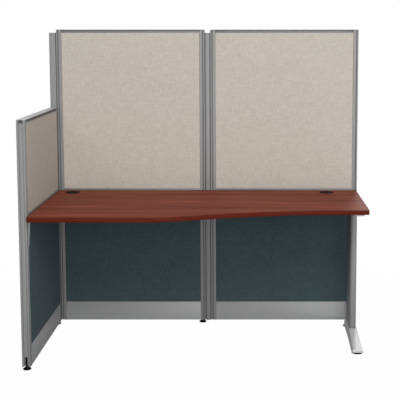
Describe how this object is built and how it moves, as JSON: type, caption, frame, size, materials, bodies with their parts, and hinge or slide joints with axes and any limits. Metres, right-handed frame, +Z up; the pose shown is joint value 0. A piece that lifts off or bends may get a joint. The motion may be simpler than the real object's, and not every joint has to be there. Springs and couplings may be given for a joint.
{
  "type": "cubicle workstation",
  "caption": "L-shaped cubicle workstation: tall fabric-covered back panels, a lower side panel, a wave-front worktop with turning cable grommets and a blade leg with a sculpted foot.",
  "frame": {"origin": "on the floor, below the middle of the whole workstation", "axes": "+X to the right along the back panels, +Y from the user towards the back panels, +Z up"},
  "size_m": [1.6546, 0.838, 1.6],
  "materials": {
    "silver_paint": "satin metallic silver",
    "base_grey": "satin",
    "leg_silver": "satin metallic silver, a little glossier",
    "tan_fabric": "matte plain weave",
    "teal_fabric": "matte plain weave",
    "cherry_laminate": "satin laminate",
    "cherry_edge": "satin",
    "black_plastic": "satin moulded",
    "zinc_steel": "zinc plated"
  },
  "bodies": {
    "workstation": {"left_left_stile": "silver_paint", "left_right_stile": "silver_paint", "left_top_rail": "silver_paint", "left_mid_rail": "silver_paint", "left_bottom_rail": "silver_paint", "left_top_cap": "silver_paint", "left_upper_pad_front": "tan_fabric", "left_upper_pad_back": "tan_fabric", "left_lower_pad_front": "teal_fabric", "left_lower_pad_back": "teal_fabric", "left_base_cover_front": "base_grey", "left_base_cover_back": "base_grey", "right_left_stile": "silver_paint", "right_right_stile": "silver_paint", "right_top_rail": "silver_paint", "right_mid_rail": "silver_paint", "right_bottom_rail": "silver_paint", "right_top_cap": "silver_paint", "right_upper_pad_front": "tan_fabric", "right_upper_pad_back": "tan_fabric", "right_lower_pad_front": "teal_fabric", "right_lower_pad_back": "teal_fabric", "right_base_cover_front": "base_grey", "right_base_cover_back": "base_grey", "side_front_stile": "silver_paint", "side_back_stile": "silver_paint", "side_top_rail": "silver_paint", "side_mid_rail": "silver_paint", "side_bottom_rail": "silver_paint", "side_top_cap": "silver_paint", "side_upper_pad_inner": "tan_fabric", "side_upper_pad_outer": "tan_fabric", "side_lower_pad_inner": "teal_fabric", "side_lower_pad_outer": "teal_fabric", "side_base_cover_inner": "base_grey", "side_base_cover_outer": "base_grey", "corner_post": "silver_paint", "inline_connector": "silver_paint", "side_end_trim": "silver_paint", "right_end_trim": "silver_paint", "worktop": "cherry_laminate", "edge_band": "cherry_edge", "left_grommet_liner": "black_plastic", "right_grommet_liner": "black_plastic", "desk_wall_brackets": "zinc_steel", "side_gusset_bracket": "leg_silver", "desk_screws": "zinc_steel", "leg_column": "silver_paint", "leg_foot": "leg_silver", "leg_top_arm": "leg_silver"},
    "side_front_glide": {"side_front_glide": "black_plastic"},
    "side_back_glide": {"side_back_glide": "black_plastic"},
    "left_right_glide": {"left_right_glide": "black_plastic"},
    "right_right_glide": {"right_right_glide": "black_plastic"},
    "leg_front_glide": {"leg_front_glide": "black_plastic"},
    "leg_back_glide": {"leg_back_glide": "black_plastic"},
    "left_grommet_cover": {"left_grommet_cover": "black_plastic"},
    "right_grommet_cover": {"right_grommet_cover": "black_plastic"}
  },
  "joints": [
    {"name": "side_front_glide_screw", "type": "slide", "parent": "workstation", "child": "side_front_glide", "axis": [0, 0, -1], "range_m": [0, 0.02]},
    {"name": "side_back_glide_screw", "type": "slide", "parent": "workstation", "child": "side_back_glide", "axis": [0, 0, -1], "range_m": [0, 0.02]},
    {"name": "left_right_glide_screw", "type": "slide", "parent": "workstation", "child": "left_right_glide", "axis": [0, 0, -1], "range_m": [0, 0.02]},
    {"name": "right_right_glide_screw", "type": "slide", "parent": "workstation", "child": "right_right_glide", "axis": [0, 0, -1], "range_m": [0, 0.02]},
    {"name": "leg_front_glide_screw", "type": "slide", "parent": "workstation", "child": "leg_front_glide", "axis": [0, 0, -1], "range_m": [0, 0.006]},
    {"name": "leg_back_glide_screw", "type": "slide", "parent": "workstation", "child": "leg_back_glide", "axis": [0, 0, -1], "range_m": [0, 0.006]},
    {"name": "left_grommet_cover_turn", "type": "hinge", "parent": "workstation", "child": "left_grommet_cover", "pos_m": [-0.69825, 0.299, 0.737], "axis": [0, 0, 1], "continuous": true},
    {"name": "right_grommet_cover_turn", "type": "hinge", "parent": "workstation", "child": "right_grommet_cover", "pos_m": [0.65375, 0.299, 0.737], "axis": [0, 0, 1], "continuous": true}
  ]
}
